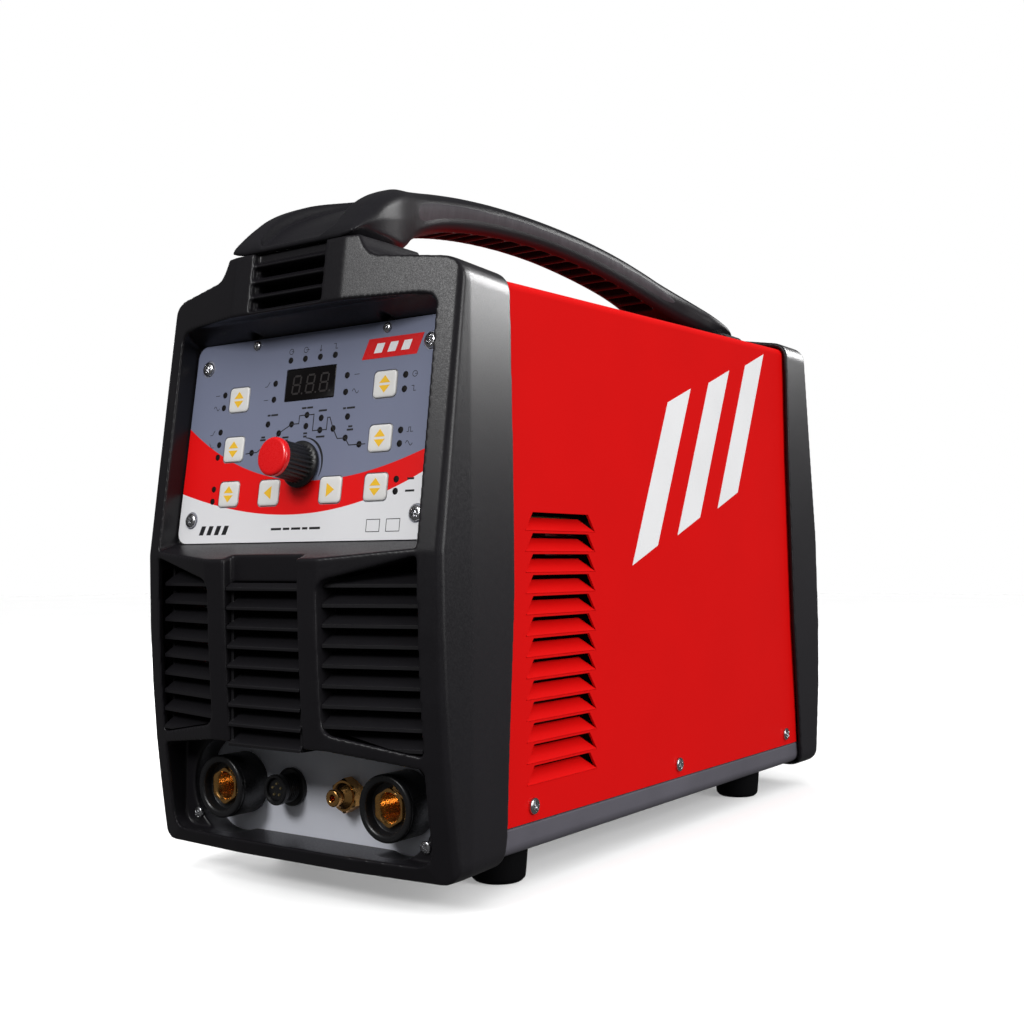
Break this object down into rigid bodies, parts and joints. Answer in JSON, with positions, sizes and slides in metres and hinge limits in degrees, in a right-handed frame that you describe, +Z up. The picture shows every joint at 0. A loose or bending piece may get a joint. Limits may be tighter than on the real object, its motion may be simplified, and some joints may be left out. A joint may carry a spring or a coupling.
{
  "type": "tig welding machine",
  "caption": "Portable inverter TIG welding power source with a moulded front panel, red sheet-metal cover with louvres, arched carrying handle and front welding and gas connectors.",
  "frame": {"origin": "on the floor under the middle of the bounding box", "axes": "+Z up, the front with the control panel faces -Y, the red sides face +X and -X"},
  "size_m": [0.222, 0.5372, 0.4204],
  "materials": {
    "bezel_plastic": "fine grained black moulding",
    "grille_plastic": "fine grained black moulding",
    "red_sheet": "glossy red powder coat",
    "tray_sheet": "satin grey powder coat",
    "handle_plastic": "fine grained dark grey moulding",
    "grip_rubber": "soft matte rubber",
    "foot_rubber": "matte black rubber",
    "zinc_screw": "bright zinc plate",
    "dark_screw": "plain steel",
    "panel_sheet": "satin grey paint",
    "overlay_film": "printed polycarbonate film with grey, red and white bands",
    "display_plastic": "dark smoked filter",
    "segment_module": "dark segment module",
    "lamp_plastic": "unlit dark lamps",
    "key_plastic": "satin white caps with yellow arrows",
    "knob_plastic": "satin black, ribbed",
    "knob_red": "glossy red",
    "steel": "turned steel",
    "encoder_metal": "pressed steel",
    "board_green": "green solder mask",
    "plate_silver": "satin silver paint",
    "socket_plastic": "satin black moulding",
    "brass": "machined brass",
    "contact_gold": "plated contacts in a dark insert",
    "fan_plastic": "black moulding",
    "guard_wire": "bright wire",
    "switch_plastic": "black moulding",
    "rocker_plastic": "red moulding",
    "label_metal": "blank satin plate",
    "sink_aluminium": "extruded aluminium",
    "power_epoxy": "black epoxy",
    "capacitor_sleeve": "dark blue sleeve",
    "core_winding": "varnished ferrite and tape",
    "choke_winding": "enamelled copper winding",
    "valve_metal": "grey coil and body",
    "hose_rubber": "black hose",
    "copper_bar": "copper bar"
  },
  "bodies": {
    "root": {"front_bezel": "bezel_plastic", "vent_grille_left": "grille_plastic", "vent_grille_right": "grille_plastic", "vent_grille_center": "grille_plastic", "outer_cover": "red_sheet", "base_tray": "tray_sheet", "rear_bezel": "bezel_plastic", "handle_shell": "handle_plastic", "handle_grips": "grip_rubber", "handle_bolts": "dark_screw", "rubber_feet": "foot_rubber", "foot_screws": "dark_screw", "cover_screws": "zinc_screw", "control_panel": "panel_sheet", "panel_overlay": "overlay_film", "display_window": "display_plastic", "display_module": "segment_module", "indicator_leds": "lamp_plastic", "encoder_body": "encoder_metal", "panel_screws": "zinc_screw", "control_board": "board_green", "connector_plate": "plate_silver", "socket_negative": "socket_plastic", "socket_positive": "socket_plastic", "socket_insert_negative": "brass", "socket_insert_positive": "brass", "remote_connector": "socket_plastic", "remote_pins": "contact_gold", "gas_outlet": "brass", "connector_screws": "zinc_screw", "fan_frame": "fan_plastic", "fan_guard": "guard_wire", "switch_body": "switch_plastic", "cable_gland": "socket_plastic", "gas_inlet": "brass", "earth_stud": "brass", "rating_plate": "label_metal", "rear_screws": "zinc_screw", "main_board": "board_green", "heat_sinks": "sink_aluminium", "power_modules": "power_epoxy", "capacitors": "capacitor_sleeve", "main_transformer": "core_winding", "output_choke": "choke_winding", "gas_valve": "valve_metal", "gas_hose": "hose_rubber", "busbars": "copper_bar"},
    "knob": {"knob_body": "knob_plastic", "knob_cap": "knob_red", "encoder_shaft": "steel"},
    "fan": {"fan_rotor": "fan_plastic"},
    "rocker": {"switch_rocker": "rocker_plastic"},
    "key_left_top": {"key_left_top": "key_plastic"},
    "key_left_middle": {"key_left_middle": "key_plastic"},
    "key_left_low": {"key_left_low": "key_plastic"},
    "key_right_top": {"key_right_top": "key_plastic"},
    "key_right_middle": {"key_right_middle": "key_plastic"},
    "key_right_low": {"key_right_low": "key_plastic"},
    "key_arrow_left": {"key_arrow_left": "key_plastic"},
    "key_arrow_right": {"key_arrow_right": "key_plastic"}
  },
  "joints": [
    {"name": "knob_turn", "type": "hinge", "parent": "root", "child": "knob", "pos_m": [0, -0.24038, 0.23651], "axis": [0, -0.9895, 0.1444], "continuous": true},
    {"name": "key_left_top_press", "type": "slide", "parent": "root", "child": "key_left_top", "axis": [0, 0.9895, -0.1444], "range_m": [0, 0.0008], "stiffness_N_per_m": 400},
    {"name": "key_left_middle_press", "type": "slide", "parent": "root", "child": "key_left_middle", "axis": [0, 0.9895, -0.1444], "range_m": [0, 0.0008], "stiffness_N_per_m": 400},
    {"name": "key_left_low_press", "type": "slide", "parent": "root", "child": "key_left_low", "axis": [0, 0.9895, -0.1444], "range_m": [0, 0.0008], "stiffness_N_per_m": 400},
    {"name": "key_right_top_press", "type": "slide", "parent": "root", "child": "key_right_top", "axis": [0, 0.9895, -0.1444], "range_m": [0, 0.0008], "stiffness_N_per_m": 400},
    {"name": "key_right_middle_press", "type": "slide", "parent": "root", "child": "key_right_middle", "axis": [0, 0.9895, -0.1444], "range_m": [0, 0.0008], "stiffness_N_per_m": 400},
    {"name": "key_right_low_press", "type": "slide", "parent": "root", "child": "key_right_low", "axis": [0, 0.9895, -0.1444], "range_m": [0, 0.0008], "stiffness_N_per_m": 400},
    {"name": "key_arrow_left_press", "type": "slide", "parent": "root", "child": "key_arrow_left", "axis": [0, 0.9895, -0.1444], "range_m": [0, 0.0008], "stiffness_N_per_m": 400},
    {"name": "key_arrow_right_press", "type": "slide", "parent": "root", "child": "key_arrow_right", "axis": [0, 0.9895, -0.1444], "range_m": [0, 0.0008], "stiffness_N_per_m": 400},
    {"name": "rocker_tilt", "type": "hinge", "parent": "root", "child": "rocker", "pos_m": [-0.072, 0.24087, 0.306], "axis": [1, 0, 0], "range_deg": [0, 18]},
    {"name": "fan_spin", "type": "hinge", "parent": "root", "child": "fan", "pos_m": [0.022, 0.23137, 0.148], "axis": [0, 1, 0], "continuous": true}
  ]
}
